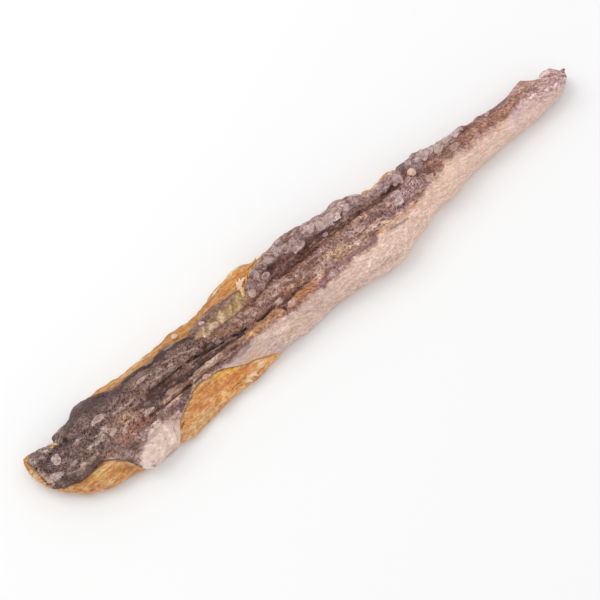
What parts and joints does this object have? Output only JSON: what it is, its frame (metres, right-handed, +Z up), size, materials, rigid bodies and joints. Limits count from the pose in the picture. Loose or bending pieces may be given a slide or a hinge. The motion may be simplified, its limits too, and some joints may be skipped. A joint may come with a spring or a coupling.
{
  "type": "haddock fillet",
  "caption": "Air-dried haddock fillet with its shrunken skin on, a long tapering strip lying flat, skin side up.",
  "frame": {"origin": "centre of the bounding box at its underside, where the fillet rests", "axes": "+X from the head end to the tail, +Y towards the edge of the back, +Z up out of the skin side"},
  "size_m": [0.3006, 0.0464, 0.0166],
  "materials": {
    "flesh": "dried fish flesh, amber, fibrous and slightly translucent, with a dull sheen",
    "skin": "dried fish skin, finely wrinkled and mostly matt, slate brown over the back and pale over the belly"
  },
  "bodies": {
    "root": {"flesh": "flesh", "skin": "skin"}
  },
  "joints": []
}
